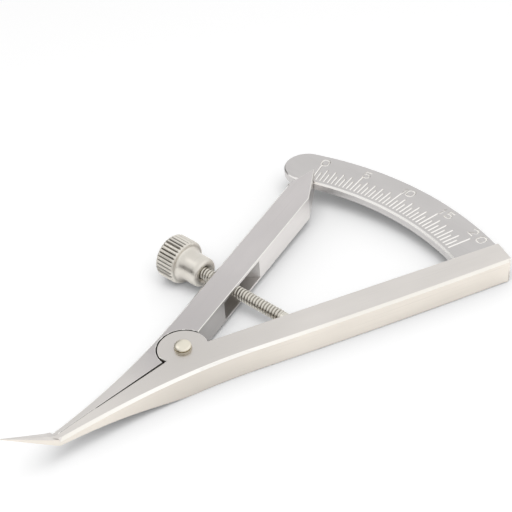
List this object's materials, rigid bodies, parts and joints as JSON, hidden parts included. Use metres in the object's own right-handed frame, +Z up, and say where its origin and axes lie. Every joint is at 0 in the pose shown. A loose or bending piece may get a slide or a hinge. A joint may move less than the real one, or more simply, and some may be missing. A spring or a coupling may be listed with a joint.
{
  "type": "castroviejo caliper",
  "caption": "Small steel caliper for eye surgery: pivoted arms with upturned needle tips, a curved millimetre scale read by a slanted nib, and a thumb nut on a swivelling screw.",
  "frame": {"origin": "on the pivot axis, in the plane of the arms' flat underside", "axes": "+X along the closed jaws towards the scale, so that the tips point to -X; +Y towards the pointer arm and the thumb nut; +Z up through the arms, out of the scale's face"},
  "size_m": [0.0868, 0.0464, 0.0118],
  "materials": {
    "frame_steel": "satin brushed stainless steel",
    "pointer_steel": "satin brushed stainless steel",
    "plate_steel": "satin stainless steel with an engraved scale",
    "pin_steel": "polished",
    "washer_steel": "polished",
    "spindle_steel": "rolled thread, bright",
    "swivel_pin_steel": "ground",
    "nut_steel": "bright turned steel, straight knurl"
  },
  "bodies": {
    "frame": {"frame_arm": "frame_steel", "scale_plate": "plate_steel", "pivot_pin": "pin_steel", "pivot_washer": "washer_steel", "swivel_pin": "swivel_pin_steel"},
    "pointer": {"pointer_arm": "pointer_steel"},
    "screw": {"spindle": "spindle_steel"},
    "nut": {"thumb_nut": "nut_steel"}
  },
  "joints": [
    {"name": "pointer_hinge", "type": "hinge", "parent": "frame", "child": "pointer", "pos_m": [0, 0, 0.0022], "axis": [0, 0, 1], "range_deg": [-35.84, 0]},
    {"name": "screw_swivel", "type": "hinge", "parent": "frame", "child": "screw", "pos_m": [0.01665, -0.00915, 0.0022], "axis": [0, 0, 1], "range_deg": [-15.4, 0]},
    {"name": "nut_travel", "type": "slide", "parent": "screw", "child": "nut", "axis": [-0.0508, 0.9987, 0], "range_m": [-0.01085, 0]}
  ],
  "couplings": [
    {"joint": "screw_swivel", "follows": "pointer_hinge", "ratio": 0.42826},
    {"joint": "nut_travel", "follows": "pointer_hinge", "m_per_rad": 0.017343}
  ]
}
